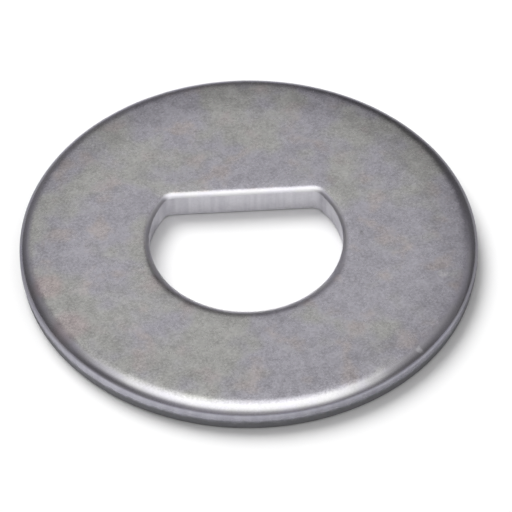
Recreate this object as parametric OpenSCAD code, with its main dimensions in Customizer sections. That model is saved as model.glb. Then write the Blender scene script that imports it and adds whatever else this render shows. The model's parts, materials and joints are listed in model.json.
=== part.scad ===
// Spindle washer: one stamped steel disc with a D-shaped hole.
// It lies with the side that the die rolled over on top and the torn side of its edges below.
// Origin: on the hole's axis, in the plane of the lower face. +Z up, +Y towards the hole's flat.

/* [Disc] */
// Outside diameter
outer_d = 54; // [44:0.5:70]
// Plate thickness
thickness = 3.5; // [2.8:0.1:5]

/* [Hole] */
// Diameter of the round part of the hole
hole_d = 22.8; // [18:0.1:28]
// Distance from the hole's axis to its flat
flat_to_axis = 7.1; // [5.5:0.05:8]

/* [Sheared edges] */
// Width of the rolled edge around the rim
rim_roll_w = 1.8; // [0.8:0.1:2.2]
// Drop of the rolled edge around the rim
rim_roll_h = 1.3; // [0.5:0.1:1.5]
// Width of the rolled edge around the hole
hole_roll_w = 1; // [0.4:0.1:1.6]
// Drop of the rolled edge around the hole
hole_roll_h = 0.6; // [0.3:0.1:1]
// Angle that the rolled edge around the hole has turned by where it meets the wall
hole_roll_turn = 45; // [30:5:90]
// Height of the torn part at the foot of the rim, below the band that the die left straight
rim_tear_h = 1.2; // [0.6:0.1:1.2]
// How far the torn part of the rim leans back from the straight band
rim_tear_lean = 0.15; // [0.05:0.05:0.3]
// Height of the torn part at the foot of the hole
hole_tear_h = 0.6; // [0.4:0.1:1.2]
// How far the torn part of the hole leans back from the straight band
hole_tear_lean = 0.1; // [0.05:0.05:0.3]
// Radius of the tumbled lower edges
foot_r = 0.3; // [0.1:0.1:0.5]

/* [Hidden] */
$fn = 180;
outer_r = outer_d / 2;
hole_r = hole_d / 2;
// How far the shape of the hole runs on past each face
past = 1;
// Flat steps in a rolled edge and in a tumbled one
roll_steps = 8;
foot_steps = 3;

// A rolled edge of this [width, drop], as an arc in flat steps from the upper face to the wall
function rolled_edge(size, turn) =
    [for (i = [0 : roll_steps]) let (a = turn * i / roll_steps)
        [size.x * (1 - sin(a) / sin(turn)), thickness - size.y * (1 - cos(a)) / (1 - cos(turn))]];

// A tumbled lower edge this far back from the wall, as a quarter circle in flat steps
function tumbled_edge(back) =
    [for (i = [0 : foot_steps]) let (a = 90 * i / foot_steps)
        [back + foot_r * (1 - cos(a)), foot_r * (1 - sin(a))]];

// A sheared wall from the upper face down to the lower one, as [x, z] with x counted into the metal from
// the straight band. The torn part is given as [lean, height].
function sheared_wall(roll, turn, tear) = concat(
    rolled_edge(roll, turn),
    [[0, tear.y]],
    tumbled_edge(tear.x)
);
rim_wall = sheared_wall([rim_roll_w, rim_roll_h], 90, [rim_tear_lean, rim_tear_h]);
hole_wall = sheared_wall([hole_roll_w, hole_roll_h], hole_roll_turn, [hole_tear_lean, hole_tear_h]);

// Half section of the disc before piercing
module disc_section() {
    wall = [for (p = rim_wall) [outer_r - p.x, p.y]];
    polygon(concat([[0, thickness]], wall, [[0, 0]]));
}

// Section of the opening beside one side of the hole, from x = back up to the wall at x = reach
module opening_section(reach, back) {
    wall = [for (p = hole_wall) [reach + p.x, p.y]];
    upper = [[back, thickness + past], [wall[0].x, thickness + past]];
    lower = [[wall[len(wall) - 1].x, -past], [back, -past]];
    polygon(concat(upper, wall, lower));
}

// The D-shaped hole is what a round hole and an opening with one straight side have in common
module d_hole() {
    intersection() {
        rotate_extrude() opening_section(hole_r, 0);
        translate([-outer_r, 0, 0]) rotate([90, 0, 90])
            linear_extrude(outer_d) opening_section(flat_to_axis, -outer_r);
    }
}

module washer() {
    color("silver") difference() {
        rotate_extrude() disc_section();
        d_hole();
    }
}

washer();
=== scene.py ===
import json
import math

import bmesh
import bpy
from mathutils import Matrix, Vector

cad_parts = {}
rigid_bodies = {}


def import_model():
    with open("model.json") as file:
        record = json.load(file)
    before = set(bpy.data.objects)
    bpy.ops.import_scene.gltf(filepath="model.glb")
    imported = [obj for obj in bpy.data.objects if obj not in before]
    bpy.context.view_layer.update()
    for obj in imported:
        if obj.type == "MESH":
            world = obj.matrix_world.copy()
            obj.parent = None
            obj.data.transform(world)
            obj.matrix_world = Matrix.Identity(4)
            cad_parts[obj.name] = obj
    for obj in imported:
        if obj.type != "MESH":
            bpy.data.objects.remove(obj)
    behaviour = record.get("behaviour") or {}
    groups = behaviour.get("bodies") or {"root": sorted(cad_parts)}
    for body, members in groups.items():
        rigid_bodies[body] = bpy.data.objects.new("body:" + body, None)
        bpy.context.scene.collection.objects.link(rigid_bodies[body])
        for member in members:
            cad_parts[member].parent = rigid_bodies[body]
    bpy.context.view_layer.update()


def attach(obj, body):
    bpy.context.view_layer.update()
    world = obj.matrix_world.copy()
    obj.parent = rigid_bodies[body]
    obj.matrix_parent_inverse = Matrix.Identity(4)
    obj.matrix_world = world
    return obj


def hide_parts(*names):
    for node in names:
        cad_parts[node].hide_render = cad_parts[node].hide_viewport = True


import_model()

# The blank: one disc of 3.5 mm steel plate, cut out by a blanking die. The die draws the plate down
# a little for some way in from the edge, rolls the upper edge over, leaves a straight shiny band
# under it and tears the rest. Tumbling then rounds the foot.
MM = 0.001
WELD = 0.001 * MM
OUTER_R = 27 * MM
THICKNESS = 3.5 * MM
RIM_ROLL = (1.8 * MM, 1.3 * MM)
RIM_TURN, RIM_BEND = math.radians(90), 1
RIM_SAG = (6.2 * MM, 0.19 * MM)
RIM_TEAR = (0.15 * MM, 1.2 * MM)
RIM_STEPS = (4, 9, 3, 3)
FOOT_R = 0.3 * MM
FOOT_STEPS = 3
FOOT_ROW = 1.5 * FOOT_R
ROUND_STEPS = 360


def sheared_wall(roll, turn, bend, sag, tear, steps):
    """Section of a wall from the upper face to the lower one, as (distance into the metal, height).

    roll, sag and tear are sizes as (width, height); steps has one number each for the sag, the
    roll, the straight band and the tear. The last point, on the lower face, keeps the foot crisp.
    """
    roll_w, roll_h = roll
    sag_w, sag_h = sag
    lean, tear_h = tear
    sag_steps, roll_steps, band_steps, tear_steps = steps

    def surface(x, drop):
        return x, THICKNESS - drop - sag_h * (1 - x / sag_w) ** 2

    points = [surface(sag_w + (roll_w - sag_w) * i / sag_steps, 0) for i in range(sag_steps)]
    for i in range(roll_steps + 1):
        a = turn * i / roll_steps
        drop = (roll_h - sag_h) * ((1 - math.cos(a)) / (1 - math.cos(turn))) ** bend
        points.append(surface(roll_w * (1 - math.sin(a) / math.sin(turn)), drop))
    band_top = THICKNESS - roll_h
    for i in range(1, band_steps + 1):
        points.append((0, band_top + (tear_h - band_top) * i / band_steps))
    for i in range(1, tear_steps + 1):
        points.append((lean * i / tear_steps, tear_h + (FOOT_R - tear_h) * i / tear_steps))
    for i in range(1, FOOT_STEPS + 1):
        a = math.pi / 2 * i / FOOT_STEPS
        points.append((lean + FOOT_R * (1 - math.cos(a)), FOOT_R * (1 - math.sin(a))))
    points.append((lean + FOOT_ROW, 0))
    return points


def draw_line(points):
    """Adds one vertex at the first point, extrudes it through the others and selects the line."""
    bpy.ops.mesh.select_all(action="DESELECT")
    bpy.ops.mesh.primitive_plane_add(size=MM, location=points[0])
    bpy.ops.mesh.merge(type="CENTER")
    for start, end in zip(points, points[1:]):
        bpy.ops.mesh.extrude_region_move(TRANSFORM_OT_translate={"value": end - start})
    bpy.ops.mesh.select_linked()


bpy.ops.object.select_all(action="DESELECT")
bpy.ops.mesh.primitive_plane_add(size=MM, location=(0, 0, 0))
washer = bpy.context.object
washer.name = washer.data.name = "stamped_washer"
bpy.ops.object.mode_set(mode="EDIT")
bpy.ops.mesh.select_all(action="SELECT")
bpy.ops.mesh.delete(type="VERT")
rim_wall = sheared_wall(RIM_ROLL, RIM_TURN, RIM_BEND, RIM_SAG, RIM_TEAR, RIM_STEPS)
draw_line([Vector((OUTER_R - x, 0, z)) for x, z in rim_wall])
bpy.ops.mesh.spin(steps=ROUND_STEPS, angle=math.tau, center=(0, 0, 0), axis=(0, 0, 1))
bpy.ops.mesh.select_all(action="SELECT")
bpy.ops.mesh.remove_doubles(threshold=WELD)
bpy.ops.mesh.normals_make_consistent(inside=False)

# The D-shaped hole, pierced in the same press stroke. Its upper edge rolls over less than the rim's
# and still slopes where it meets the wall. Its flat keys on the flatted spindle, and the punch's
# worn corners leave two small radii. The punch stood slightly off the middle of the blank.
HOLE_R = 11.4 * MM
HOLE_X = -0.3 * MM
FLAT_TO_AXIS = 7.1 * MM
CORNER_R = 1.2 * MM
HOLE_ROLL = (0.95 * MM, 0.42 * MM)
HOLE_TURN, HOLE_BEND = math.radians(20), 1.5
HOLE_SAG = (2.0 * MM, 0.05 * MM)
HOLE_TEAR = (0.1 * MM, 0.6 * MM)
HOLE_STEPS = (3, 7, 3, 3)
CORNER_STEPS = 9
FLAT_STEPS = 85
corner_y = FLAT_TO_AXIS - CORNER_R
corner_x = math.sqrt((HOLE_R - CORNER_R) ** 2 - corner_y ** 2)
corner_turn = math.pi / 2 - math.atan2(corner_y, corner_x)
arc_steps = ROUND_STEPS - FLAT_STEPS - 2 * CORNER_STEPS

hole_wall = sheared_wall(HOLE_ROLL, HOLE_TURN, HOLE_BEND, HOLE_SAG, HOLE_TEAR, HOLE_STEPS)
draw_line([Vector((HOLE_X + corner_x, FLAT_TO_AXIS + x, z)) for x, z in hole_wall])
for steps, angle, centre in (
    (CORNER_STEPS, corner_turn, (HOLE_X + corner_x, corner_y, 0)),
    (arc_steps, math.tau - 2 * corner_turn, (HOLE_X, 0, 0)),
    (CORNER_STEPS, corner_turn, (HOLE_X - corner_x, corner_y, 0)),
):
    bpy.ops.mesh.spin(steps=steps, angle=angle, center=centre, axis=(0, 0, 1))
bpy.ops.mesh.extrude_repeat(steps=FLAT_STEPS, offset=(2 * corner_x / FLAT_STEPS, 0, 0))
bpy.ops.mesh.select_linked()
bpy.ops.mesh.remove_doubles(threshold=WELD)
bpy.ops.mesh.normals_make_consistent(inside=False)

# The ring where the rolled edge meets the wall stays sharp. On the near, round side the punch drew
# the metal down over a wider strip, and further, than along the flat.
NEAR_WIDER, NEAR_DEEPER = 0.8, 0.43
NEAR_GROWS_OVER = 0.6 * HOLE_R
bpy.ops.mesh.select_all(action="DESELECT")
bpy.ops.mesh.select_mode(type="EDGE")
mesh = bmesh.from_edit_mesh(washer.data)
for edge in mesh.edges:
    on_corner = all(abs(v.co.z - THICKNESS + HOLE_ROLL[1]) < WELD for v in edge.verts)
    edge.select_set(on_corner and edge.verts[0].co.xy.length < HOLE_R + MM)
bmesh.update_edit_mesh(washer.data)
bpy.ops.transform.edge_crease(value=1)
bpy.ops.mesh.mark_sharp()
mesh = bmesh.from_edit_mesh(washer.data)
for vertex in mesh.verts:
    drop = THICKNESS - vertex.co.z
    out = vertex.co.xy - Vector((HOLE_X, 0))
    if drop < HOLE_ROLL[1] + WELD and out.length < HOLE_R + HOLE_SAG[0] + MM:
        near = min(1, max(0, -vertex.co.y / NEAR_GROWS_OVER))
        near *= near * (3 - 2 * near)
        vertex.co.xy += out.normalized() * (out.length - HOLE_R) * NEAR_WIDER * near
        vertex.co.z -= drop * NEAR_DEEPER * near
bmesh.update_edit_mesh(washer.data)

# The upper and the lower face, bridged from wall to wall. The whole mesh is then smoothed once.
TOP_ROWS, UNDERSIDE_ROWS = 9, 6
SAME_HEIGHT = 0.01 * MM


def select_open_edges(height):
    """Selects the open edges at this height on both walls, which bound the face still missing."""
    bpy.ops.mesh.select_all(action="DESELECT")
    mesh = bmesh.from_edit_mesh(washer.data)
    for edge in mesh.edges:
        if edge.is_boundary and all(abs(v.co.z - height) < SAME_HEIGHT for v in edge.verts):
            edge.select_set(True)
    bmesh.update_edit_mesh(washer.data)


bpy.ops.mesh.select_mode(type="EDGE")
for height, rows in ((THICKNESS, TOP_ROWS), (0, UNDERSIDE_ROWS)):
    select_open_edges(height)
    bpy.ops.mesh.bridge_edge_loops(number_cuts=rows, interpolation="LINEAR")
bpy.ops.mesh.select_mode(type="VERT")
bpy.ops.mesh.select_all(action="SELECT")
bpy.ops.mesh.normals_make_consistent(inside=False)
bpy.ops.object.mode_set(mode="OBJECT")
bpy.ops.object.modifier_add(type="SUBSURF")
bpy.context.object.modifiers[-1].levels = 1
bpy.context.object.modifiers[-1].render_levels = 1
bpy.ops.object.modifier_apply(modifier=bpy.context.object.modifiers[-1].name)

# Wear on the bare steel before plating: the torn foot of each wall is pitted and ragged, and the
# barrel has knocked shallow dents all over the top.
TORN_FROM, TORN_TO, TORN_FADE = 0.2 * MM, 1.3 * MM, 0.15 * MM
TOP_FROM, TOP_FADE = 2.4 * MM, 0.3 * MM
DENTS = (  # where, size, depth, detail
    ("torn_wall", 0.5 * MM, 0.14 * MM, 3),
    ("top", 3.5 * MM, 0.03 * MM, 1),
)
for name in ("torn_wall", "top"):
    washer.vertex_groups.new(name=name)
torn, top = washer.vertex_groups["torn_wall"], washer.vertex_groups["top"]
for vertex in washer.data.vertices:
    z = vertex.co.z
    if TORN_FROM < z < TORN_TO:
        weight = min(1, (z - TORN_FROM) / TORN_FADE, (TORN_TO - z) / TORN_FADE)
        torn.add([vertex.index], weight, "REPLACE")
    elif z > TOP_FROM:
        top.add([vertex.index], min(1, (z - TOP_FROM) / TOP_FADE), "REPLACE")
for name, size, depth, detail in DENTS:
    lumps = bpy.data.textures.new(name + "_lumps", "CLOUDS")
    lumps.noise_scale = size
    lumps.noise_depth = detail
    bpy.ops.object.modifier_add(type="DISPLACE")
    dents = bpy.context.object.modifiers[-1]
    dents.texture = lumps
    dents.texture_coords = "LOCAL"
    dents.vertex_group = name
    dents.mid_level = 1
    dents.strength = depth
    bpy.ops.object.modifier_apply(modifier=dents.name)
bpy.ops.object.shade_smooth()

# Zinc plate, tumbled: a dull face with faint coloured blotches and a fine grain, rolled edges
# rubbed smoother and brighter, a straight band scored by the punch, and the torn foot rough and
# dark: partly its own grey, partly painted shade at the foot. A few patches and a light speck
# stand out on the face, with a dark spot of painted shade where a pit would be, though the mesh
# has no pit, and a white spot of painted highlight on the rim's rolled edge.
GREEN_GREY, VIOLET_GREY = (0.523, 0.523, 0.500), (0.506, 0.495, 0.538)
PINK_GREY = (0.565, 0.517, 0.508)
RUBBED_VIOLET, RUBBED_GREY = (0.63, 0.62, 0.66), (0.64, 0.635, 0.645)
BURNISHED_DARK, BURNISHED_LIGHT = (0.66, 0.65, 0.69), (0.745, 0.735, 0.77)
# The torn foot's grey is partly its own and partly painted shade at the foot.
TORN_GREY_WITH_PAINTED_SHADE = (0.39, 0.39, 0.39)
BLOTCHES, PINK_BLOTCHES, RUBBED_BLOTCHES = 8 * MM, 4 * MM, 3 * MM
MOTTLE, GRAIN = 1.6 * MM, 0.28 * MM
STREAKS, SCORES = 0.9 * MM, 0.25 * MM
TEAR_WAVES, TEAR_TEETH, TEAR_CRUMBS = 1.4 * MM, 0.3 * MM, 0.2 * MM
MOTTLE_SHADE, GRAIN_SHADE = 0.65, 0.80
# Levels of painted light on the inner face and of painted shade at its near end.
PAINTED_INNER_LIGHT_LEVEL, PAINTED_NEAR_SHADE_LEVEL = 1.13, 0.96
FACE_ROUGHNESS, ROUGHNESS_SPREAD = 0.19, 0.16
HOLE_EDGE_ROUGHNESS, RIM_EDGE_ROUGHNESS = 0.40, 0.22
TORN_ROUGHNESS = 0.6
HOLE_SIDE, RIM_SIDE = 14 * MM, 22 * MM  # radii up to which, and from which, an edge is theirs
TEAR_LINE_IN_HOLE, TEAR_LINE_ON_RIM = -0.90, 0.49  # in mm, before the waves raise it
MARK_CORE = 0.45
MARK_LUMPS_PER_MM = 0.6
MARKS = (  # x and y in mm, radius in mm, strength, colour
    (-23.3, -5.8, 2.4, 0.6, (0.60, 0.50, 0.49)),
    (-21.0, -12.2, 2.8, 0.6, (0.59, 0.50, 0.50)),
    # A dark spot of painted shade where a pit would be; the mesh has no pit there.
    (13.7, 0.3, 0.45, 0.45, (0.20, 0.20, 0.20)),
    # A white spot of painted highlight, a glint on the rim's rolled edge.
    (18.9, -18.4, 0.5, 1.0, (1.0, 1.0, 1.0)),
    (22.7, -6.9, 0.7, 0.5, (0.68, 0.67, 0.67)),
)
GRAIN_RELIEF, SCORE_RELIEF, TORN_RELIEF = 0.003, 0.004, 0.05
zinc = bpy.data.materials.new("tumbled_zinc_plate")
zinc.use_nodes = True
nodes, links = zinc.node_tree.nodes, zinc.node_tree.links
shader = nodes["Principled BSDF"]
shader.inputs["Metallic"].default_value = 1.0


def node(kind, **settings):
    made = nodes.new(kind)
    for key, value in settings.items():
        setattr(made, key, value)
    return made


def math_node(operation, *values):
    made = node("ShaderNodeMath", operation=operation)
    for socket, value in zip(made.inputs, values):
        if isinstance(value, (int, float)):
            socket.default_value = value
        else:
            links.new(value, socket)
    return made.outputs[0]


def smooth_step(value, low, high, out_low=0.0, out_high=1.0):
    made = node("ShaderNodeMapRange", interpolation_type="SMOOTHSTEP")
    links.new(value, made.inputs["Value"])
    made.inputs["From Min"].default_value = low
    made.inputs["From Max"].default_value = high
    made.inputs["To Min"].default_value = out_low
    made.inputs["To Max"].default_value = out_high
    return made.outputs["Result"]


def blend(factor, a, b, kind="RGBA"):
    """Mix of two colours, or with kind FLOAT of two numbers."""
    made = node("ShaderNodeMix", data_type=kind)
    # The node has a set of sockets for each kind, told apart only by their places.
    first, second, out = (6, 7, 2) if kind == "RGBA" else (2, 3, 0)
    for index, value in ((0, factor), (first, a), (second, b)):
        socket = made.inputs[index]
        if isinstance(value, tuple):
            socket.default_value = (*value, 1)
        elif isinstance(value, (int, float)):
            socket.default_value = value
        else:
            links.new(value, socket)
    return made.outputs[out]


place = node("ShaderNodeTexCoord").outputs["Object"]


def clouds(size, detail, seed=0.0, stretch=(1, 1, 1)):
    """Soft noise on the washer with lumps of this size, from 0 to 1."""
    moved = node("ShaderNodeMapping")
    links.new(place, moved.inputs["Vector"])
    moved.inputs["Location"].default_value = (seed * MM, 0, 0)
    moved.inputs["Scale"].default_value = stretch
    made = node("ShaderNodeTexNoise")
    links.new(moved.outputs["Vector"], made.inputs["Vector"])
    made.inputs["Scale"].default_value = 1 / size
    made.inputs["Detail"].default_value = detail
    return made.outputs[0]


# Where the rolled edges and the walls are, told by the slope of the surface.
facing = node("ShaderNodeSeparateXYZ")
links.new(node("ShaderNodeNewGeometry").outputs["Normal"], facing.inputs[0])
upright = math_node("ABSOLUTE", facing.outputs["Z"])
rolled = smooth_step(upright, 0.997, 0.92)
wall = smooth_step(upright, 0.5, 0.1)

# The torn part of the walls, below a ragged line that is higher on the rim than in the hole.
apart = node("ShaderNodeSeparateXYZ")
links.new(place, apart.inputs[0])
height_mm = math_node("DIVIDE", apart.outputs["Z"], MM)
from_axis = node("ShaderNodeVectorMath", operation="LENGTH")
links.new(place, from_axis.inputs[0])
radius = from_axis.outputs["Value"]
tear_line = smooth_step(radius, HOLE_SIDE, RIM_SIDE, TEAR_LINE_IN_HOLE, TEAR_LINE_ON_RIM)
tear_line = math_node("MULTIPLY_ADD", clouds(TEAR_WAVES, 2), 1.1, tear_line)
tear_line = math_node("MULTIPLY_ADD", clouds(TEAR_TEETH, 2, 7), 0.5, tear_line)
over_tear = math_node("SUBTRACT", height_mm, tear_line)
below_line = smooth_step(over_tear, 0.52, -0.46)
torn_part = math_node("MULTIPLY", below_line, smooth_step(upright, 0.98, 0.9))

# Colour: the face's blotches, the rubbed edges, the marks and the burnished band, all shaded by a
# mottle and the grain. Painted light makes the inner face, with the hole's edges and walls, a
# little brighter than the sagging outer part, and painted shade makes the near end a little darker.
face = blend(smooth_step(clouds(BLOTCHES, 3), 0.42, 0.58), GREEN_GREY, VIOLET_GREY)
face = blend(smooth_step(clouds(PINK_BLOTCHES, 3, 31), 0.52, 0.70, 0, 0.8), face, PINK_GREY)
rubbed = smooth_step(clouds(RUBBED_BLOTCHES, 2, 13), 0.4, 0.6)
rubbed = blend(rubbed, RUBBED_VIOLET, RUBBED_GREY)
colour = blend(rolled, face, rubbed)
flat_place = node("ShaderNodeVectorMath", operation="MULTIPLY")
links.new(place, flat_place.inputs[0])
flat_place.inputs[1].default_value = (1, 1, 0)
frayed = node("ShaderNodeVectorMath", operation="MULTIPLY_ADD")
ragged = node("ShaderNodeTexNoise")
ragged.inputs["Scale"].default_value = MARK_LUMPS_PER_MM / MM
links.new(place, ragged.inputs["Vector"])
links.new(ragged.outputs["Color"], frayed.inputs[0])
frayed.inputs[1].default_value = (MM, MM, 0)
links.new(flat_place.outputs[0], frayed.inputs[2])
for x, y, size, strength, tint in MARKS:
    mark = node("ShaderNodeVectorMath", operation="DISTANCE")
    links.new(frayed.outputs[0], mark.inputs[0])
    mark.inputs[1].default_value = (x * MM, y * MM, 0)
    away = mark.outputs["Value"]
    inside = smooth_step(away, size * MM, MARK_CORE * size * MM, 0, strength)
    colour = blend(inside, colour, tint)
streaks = clouds(STREAKS, 3, 41, (1, 1, 0.05))
burnished = blend(smooth_step(streaks, 0.35, 0.65), BURNISHED_DARK, BURNISHED_LIGHT)
colour = blend(wall, colour, burnished)
mottle = clouds(MOTTLE, 4, 3)
grain = clouds(GRAIN, 2, 5)
dull = math_node("MULTIPLY_ADD", rolled, -0.8, 1.0)
shade = math_node("MULTIPLY", math_node("SUBTRACT", mottle, 0.5), MOTTLE_SHADE)
shade = math_node("MULTIPLY_ADD", math_node("SUBTRACT", grain, 0.5), GRAIN_SHADE, shade)
# Painted light: the inner face and the hole's edges and walls a little brighter.
painted_inner_light = smooth_step(radius, 20.5 * MM, 23.5 * MM, PAINTED_INNER_LIGHT_LEVEL, 1.0)
shade = math_node("MULTIPLY_ADD", shade, dull, painted_inner_light)
# Painted shade: the near end of the face a little darker.
painted_near_shade = smooth_step(apart.outputs["Y"], -19 * MM, -9 * MM, PAINTED_NEAR_SHADE_LEVEL, 1.0)
shade = math_node("MULTIPLY", shade, painted_near_shade)
shaded = node("ShaderNodeVectorMath", operation="SCALE")
links.new(colour, shaded.inputs[0])
links.new(shade, shaded.inputs["Scale"])
# Below the tear line the colour turns to the torn grey, partly painted shade at the foot.
links.new(blend(torn_part, shaded.outputs[0], TORN_GREY_WITH_PAINTED_SHADE), shader.inputs["Base Color"])

# Roughness: the rim's rolled edge is rubbed smoother than the hole's, and the torn foot is dull.
rolled_roughness = smooth_step(
    radius, HOLE_SIDE, RIM_SIDE, HOLE_EDGE_ROUGHNESS, RIM_EDGE_ROUGHNESS
)
face_roughness = math_node("MULTIPLY_ADD", mottle, ROUGHNESS_SPREAD, FACE_ROUGHNESS)
roughness = blend(rolled, face_roughness, rolled_roughness, "FLOAT")
links.new(blend(torn_part, roughness, TORN_ROUGHNESS, "FLOAT"), shader.inputs["Roughness"])

# Relief in mm: the grain of the face, the punch's scores down the band and the torn foot.
scored = clouds(SCORES, 2, 17, (1, 1, 0.1))
crumbled = math_node("MULTIPLY", clouds(TEAR_CRUMBS, 3, 23), torn_part)
relief = math_node("MULTIPLY", math_node("MULTIPLY", grain, dull), GRAIN_RELIEF)
relief = math_node("MULTIPLY_ADD", math_node("MULTIPLY", scored, wall), SCORE_RELIEF, relief)
relief = math_node("MULTIPLY_ADD", crumbled, TORN_RELIEF, relief)
bump = node("ShaderNodeBump")
bump.inputs["Distance"].default_value = MM
links.new(relief, bump.inputs["Height"])
links.new(bump.outputs["Normal"], shader.inputs["Normal"])
washer.data.materials.append(zinc)

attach(washer, "root")
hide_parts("washer")

# The floor: a plain white studio table. In glossy rays only it carries a painted reflection: what
# the metal reflects of it is white in the hole, with a grey strip near the flat, and gets darker
# under the washer, beyond it and at its two ends.
FLOOR_SIZE = 8
PAPER_WHITE = (0.95, 0.95, 0.95)
# Colours of the painted reflection, seen only in glossy rays.
PAINTED_REFLECTION_IN_HOLE, PAINTED_REFLECTION_NEAR_FLAT = (1.0, 1.0, 1.0), (0.58, 0.58, 0.59)
PAINTED_REFLECTION_UNDER_WASHER, PAINTED_REFLECTION_BEYOND_WASHER = (0.58, 0.58, 0.62), (0.38, 0.375, 0.42)
PAINTED_REFLECTION_LEFT_END, PAINTED_REFLECTION_RIGHT_END = (0.34, 0.335, 0.37), (0.31, 0.305, 0.33)
WASHER_MIDDLE = (-1.5 * MM, 0.5 * MM, 0)
bpy.ops.object.select_all(action="DESELECT")
bpy.ops.mesh.primitive_plane_add(size=FLOOR_SIZE, location=(0, 0, 0))
floor = bpy.context.object
floor.name = "studio_floor"
white = bpy.data.materials.new("white_floor_and_painted_reflection")
white.use_nodes = True
nodes, links = white.node_tree.nodes, white.node_tree.links
paper = nodes["Principled BSDF"]
paper.inputs["Roughness"].default_value = 1.0
paper.inputs["Specular IOR Level"].default_value = 0.0
spot = node("ShaderNodeTexCoord").outputs["Object"]
far = node("ShaderNodeVectorMath", operation="DISTANCE")
links.new(spot, far.inputs[0])
far.inputs[1].default_value = WASHER_MIDDLE
outside = smooth_step(far.outputs["Value"], 12 * MM, 27 * MM)
beyond = smooth_step(far.outputs["Value"], 29 * MM, 36 * MM)
across = node("ShaderNodeSeparateXYZ")
links.new(spot, across.inputs[0])
floor_x, floor_y = across.outputs["X"], across.outputs["Y"]
# Painted reflection: the floor's colour as seen from the metal, place by place.
painted_reflection = blend(smooth_step(floor_y, -4 * MM, 3 * MM), PAINTED_REFLECTION_IN_HOLE, PAINTED_REFLECTION_NEAR_FLAT)
painted_reflection = blend(smooth_step(floor_y, 4.5 * MM, 6.5 * MM), painted_reflection, PAINTED_REFLECTION_IN_HOLE)
painted_reflection = blend(outside, painted_reflection, PAINTED_REFLECTION_UNDER_WASHER)
painted_reflection = blend(beyond, painted_reflection, PAINTED_REFLECTION_BEYOND_WASHER)
painted_reflection = blend(smooth_step(floor_x, -21 * MM, -30 * MM), painted_reflection, PAINTED_REFLECTION_LEFT_END)
to_the_right = smooth_step(floor_x, 20 * MM, 29 * MM)
right_end = math_node("MULTIPLY", to_the_right, smooth_step(floor_y, -16 * MM, -8 * MM))
painted_reflection = blend(right_end, painted_reflection, PAINTED_REFLECTION_RIGHT_END)
seen_in_gloss = node("ShaderNodeLightPath").outputs["Is Glossy Ray"]
links.new(blend(seen_in_gloss, PAPER_WHITE, painted_reflection), paper.inputs["Base Color"])
floor.data.materials.append(white)


# The lamps: a soft box behind on the left, which throws the short shadow to the front and right,
# and a wide, weak light overhead. The metal does not reflect them.
def lamp(name, azimuth, elevation, distance, radius, level):
    """Disc lamp aimed at the origin; level is how bright it makes a white floor there."""
    a, e = math.radians(azimuth), math.radians(elevation)
    back = Vector((math.sin(a) * math.cos(e), -math.cos(a) * math.cos(e), math.sin(e)))
    bpy.ops.object.light_add(type="AREA", location=back * distance)
    made = bpy.context.object
    made.name = name
    made.rotation_euler = back.to_track_quat("Z", "Y").to_euler()
    made.data.shape = "DISK"
    made.data.size = 2 * radius
    spread = radius ** 2 / (radius ** 2 + distance ** 2)
    radiance = level / (spread * math.sin(e))
    made.data.energy = radiance * math.pi * math.pi * radius ** 2
    made.visible_glossy = False


lamp("key_softbox", azimuth=213, elevation=52, distance=2.0, radius=0.76, level=0.63)
lamp("ceiling_fill", azimuth=0, elevation=90, distance=2.0, radius=3.0, level=0.46)

# What the metal reflects: a dim room with a long overhead light box across it, hung slightly askew.
# Only the metal sees it; the floor is lit by the lamps. The arch runs from the horizon behind the
# washer (0 degrees) over the top to the horizon behind the camera (180 degrees).
ROOM = (  # degrees along the arch, brightness
    (0, 0.20), (20, 0.21), (35, 0.24), (44, 0.25), (56, 0.30), (68, 0.42), (95, 0.42), (110, 0.32),
    (130, 0.29), (150, 0.33), (170, 0.33), (180, 0.30),
)
BOX = (  # degrees along the arch, brightness
    (0, 0), (38, 0), (41, 0.07), (44, 0.34), (47, 0.43), (49.5, 0.30), (52, 0.25), (56, 0.26),
    (60, 0.38), (65, 0.91), (70, 1.0), (110, 1.0), (122, 0.86), (132, 0.54), (140, 0.33),
    (150, 0.12), (160, 0.03), (180, 0),
)
BOX_REACH = (  # degrees along the arch, how far the box reaches to each side
    (0, 0.62), (52, 0.62), (58, 0.34), (64, 0.25), (70, 0.33), (80, 0.52), (87, 0.57), (98, 0.76),
    (117, 0.82), (180, 0.82),
)
BOX_LEVEL = 1.28
BOX_CENTRE = 0.02
BOX_SKEW = -0.09
SIDE_LEVEL, BEHIND_CAMERA_LEVEL = 0.45, 0.78
LOW_RIGHT_LOSS, BOX_RIGHT_LOSS = 0.5, 0.5
SIDE_FILL_LEVEL = 0.09
ROOM_TINT, BOX_TINT = (0.96, 0.93, 1.0), (1, 1, 1)
world = bpy.data.worlds.new("studio_dome")
bpy.context.scene.world = world
world.use_nodes = True
world.cycles_visibility.diffuse = False
nodes, links = world.node_tree.nodes, world.node_tree.links
background = nodes["Background"]
direction = node("ShaderNodeSeparateXYZ")
links.new(node("ShaderNodeTexCoord").outputs["Generated"], direction.inputs[0])
dx, dy, dz = direction.outputs
arch = math_node("DIVIDE", math_node("ARCTAN2", dz, dy), math.pi)


def along(value, steps):
    """Value by steps of (position, level), with positions and levels from 0 to 1."""
    made = node("ShaderNodeFloatCurve")
    links.new(value, made.inputs["Value"])
    curve = made.mapping.curves[0]
    curve.points[0].location = steps[0]
    curve.points[1].location = steps[-1]
    for position, level in steps[1:-1]:
        curve.points.new(position, level)
    made.mapping.update()
    return made.outputs["Value"]


def arch_step(low, high, out_low=0.0, out_high=1.0):
    """Smooth step between two places on the arch, in degrees."""
    return smooth_step(arch, low / 180, high / 180, out_low, out_high)


askew = math_node("MULTIPLY_ADD", dx, BOX_SKEW, arch)
room, box, reach = (
    along(angle, [(degrees / 180, level) for degrees, level in steps])
    for angle, steps in ((arch, ROOM), (askew, BOX), (askew, BOX_REACH))
)

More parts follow.
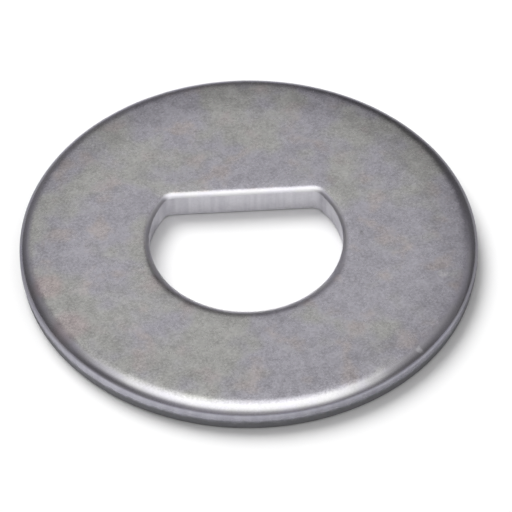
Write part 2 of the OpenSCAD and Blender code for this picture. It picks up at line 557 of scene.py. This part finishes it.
# The room is darker towards the sides, though less so behind the camera, and low behind the washer
# on the right, where a weak fill stands further out.
sides = smooth_step(math_node("ABSOLUTE", dx), 0.4, 0.95, 1, SIDE_LEVEL)
sides = math_node("MAXIMUM", sides, arch_step(125, 165, 0, BEHIND_CAMERA_LEVEL))
right = smooth_step(dx, 0.06, 0.22, 0, LOW_RIGHT_LOSS)
right = math_node("MULTIPLY", right, smooth_step(dx, 0.45, 0.8, 1, 0.2))
right = math_node("MULTIPLY", right, arch_step(46, 38))
room = math_node("MULTIPLY", math_node("MULTIPLY", room, sides), math_node("SUBTRACT", 1.0, right))
side_fill = smooth_step(dx, 0.3, 0.5, 0, SIDE_FILL_LEVEL)
side_fill = math_node("MULTIPLY", side_fill, arch_step(36, 43))
side_fill = math_node("MULTIPLY", side_fill, arch_step(58, 50))
room = math_node("ADD", room, side_fill)

# The box fades out beyond its reach, and is weaker at its lower right end.
beside = math_node("DIVIDE", math_node("ABSOLUTE", math_node("SUBTRACT", dx, BOX_CENTRE)), reach)
box = math_node("MULTIPLY", box, smooth_step(beside, 0.35, 1.0, 1, 0))
box = math_node("MULTIPLY", box, BOX_LEVEL)
low_right = smooth_step(dx, 0.05, 0.2, 0, BOX_RIGHT_LOSS)
low_right = math_node("MULTIPLY", low_right, arch_step(46, 49))
low_right = math_node("MULTIPLY", low_right, arch_step(76, 64))
box = math_node("MULTIPLY", box, math_node("SUBTRACT", 1.0, low_right))
links.new(math_node("ADD", room, box), background.inputs["Strength"])
links.new(blend(smooth_step(box, 0.0, 0.5), ROOM_TINT, BOX_TINT), background.inputs["Color"])

# The camera stands at the photograph's angle, far off with a long lens.
ELEVATION, AZIMUTH, ROLL = 47.1, -3.5, -0.33
DISTANCE = 0.505
FOCAL_PIXELS, PICTURE_PIXELS = 4272, 512
SHIFT_PIXELS = (7.2, 0.4)
SENSOR_MM = 36
PIXEL = DISTANCE / FOCAL_PIXELS
turn = (
    Matrix.Rotation(math.radians(AZIMUTH), 4, "Z")
    @ Matrix.Rotation(math.radians(90 - ELEVATION), 4, "X")
    @ Matrix.Rotation(math.radians(ROLL), 4, "Z")
)
bpy.ops.object.camera_add()
camera = bpy.context.object
shift_x, shift_y = (pixels * PIXEL for pixels in SHIFT_PIXELS)
camera.matrix_world = turn @ Matrix.Translation((shift_x, shift_y, DISTANCE))
camera.data.sensor_width = SENSOR_MM
camera.data.lens = SENSOR_MM * FOCAL_PIXELS / PICTURE_PIXELS
camera.data.clip_start = 0.01
camera.data.clip_end = 50
bpy.context.scene.camera = camera
bpy.context.scene.view_settings.view_transform = "Standard"
